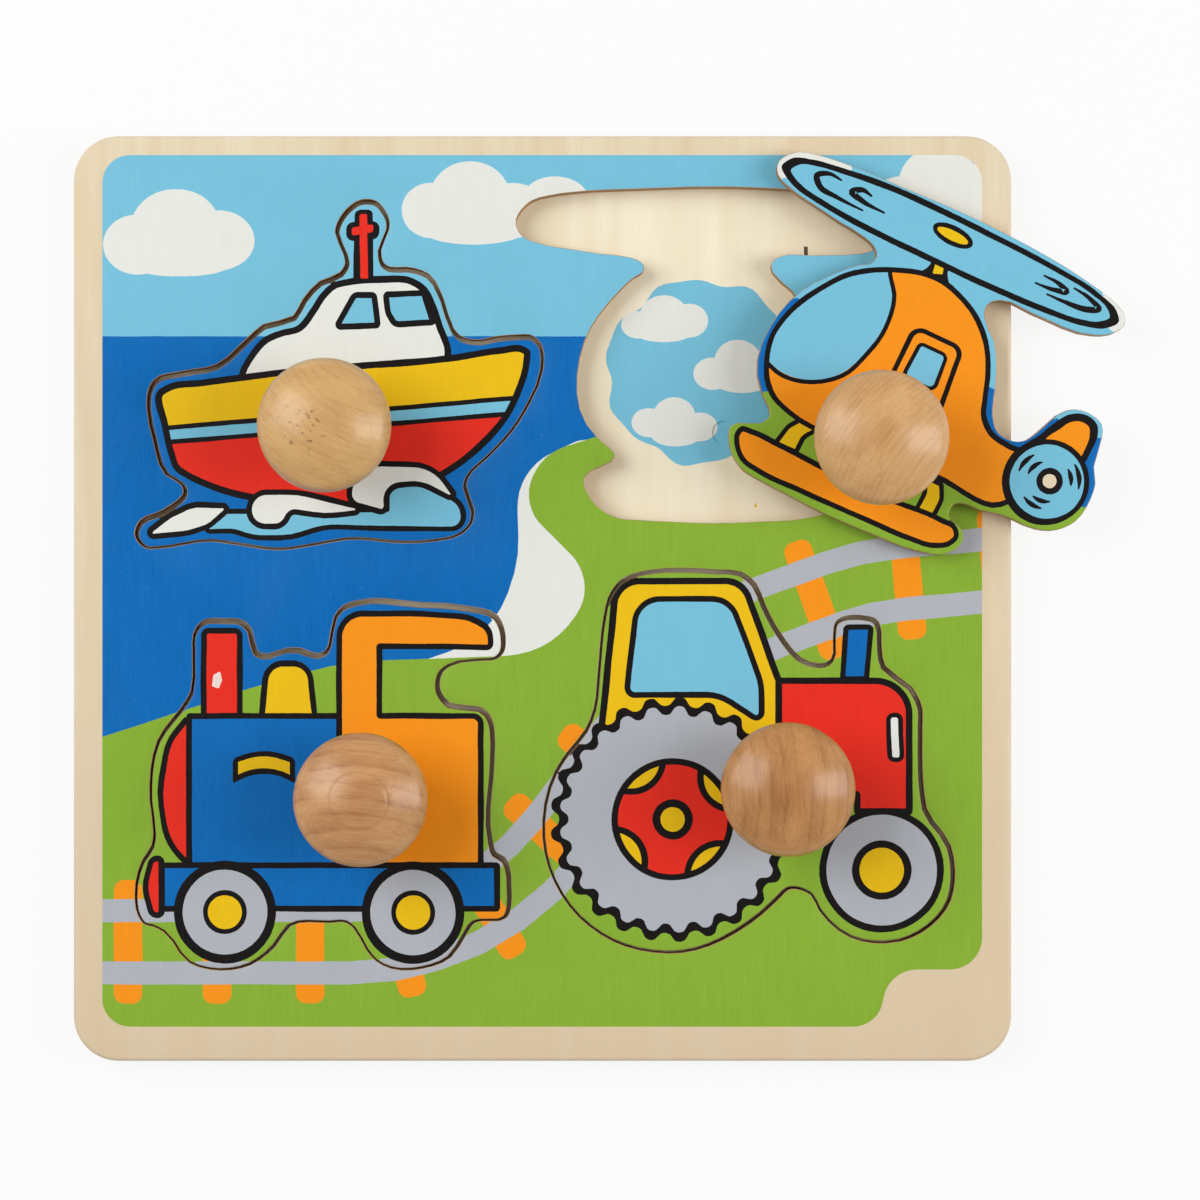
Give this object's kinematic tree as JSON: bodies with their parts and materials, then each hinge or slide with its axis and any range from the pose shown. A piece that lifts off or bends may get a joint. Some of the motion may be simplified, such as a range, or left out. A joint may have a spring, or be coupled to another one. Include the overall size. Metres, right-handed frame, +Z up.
{
  "type": "peg puzzle",
  "caption": "Wooden inset puzzle board with vehicle pieces cut from its printed top sheet, each lifted out by a big turned knob.",
  "frame": {"origin": "centre of the board's underside, on the surface that the puzzle lies on", "axes": "+X to the right and +Y to the top of the printed picture, +Z up from the table towards the knobs"},
  "size_m": [0.246, 0.217, 0.038],
  "materials": {
    "plywood": "bare sanded birch plywood",
    "printed_plywood": "screen-printed birch plywood, satin",
    "beech": "turned and clear-lacquered beech",
    "zinc_steel": "zinc-plated"
  },
  "bodies": {
    "board": {"base_board": "plywood", "frame_board": "printed_plywood"},
    "boat": {"boat_piece": "printed_plywood", "boat_knob": "beech", "boat_screw": "zinc_steel"},
    "train": {"train_piece": "printed_plywood", "train_knob": "beech", "train_screw": "zinc_steel"},
    "tractor": {"tractor_piece": "printed_plywood", "tractor_knob": "beech", "tractor_screw": "zinc_steel"},
    "helicopter": {"helicopter_piece": "printed_plywood", "helicopter_knob": "beech", "helicopter_screw": "zinc_steel"}
  },
  "joints": [
    {"name": "boat_lift", "type": "slide", "parent": "board", "child": "boat", "axis": [0, 0, 1], "range_m": [0, 0.04]},
    {"name": "train_lift", "type": "slide", "parent": "board", "child": "train", "axis": [0, 0, 1], "range_m": [0, 0.04]},
    {"name": "tractor_lift", "type": "slide", "parent": "board", "child": "tractor", "axis": [0, 0, 1], "range_m": [0, 0.04]},
    {"name": "helicopter_lift", "type": "slide", "parent": "board", "child": "helicopter", "axis": [0, 0, 1], "range_m": [0, 0.04]}
  ]
}
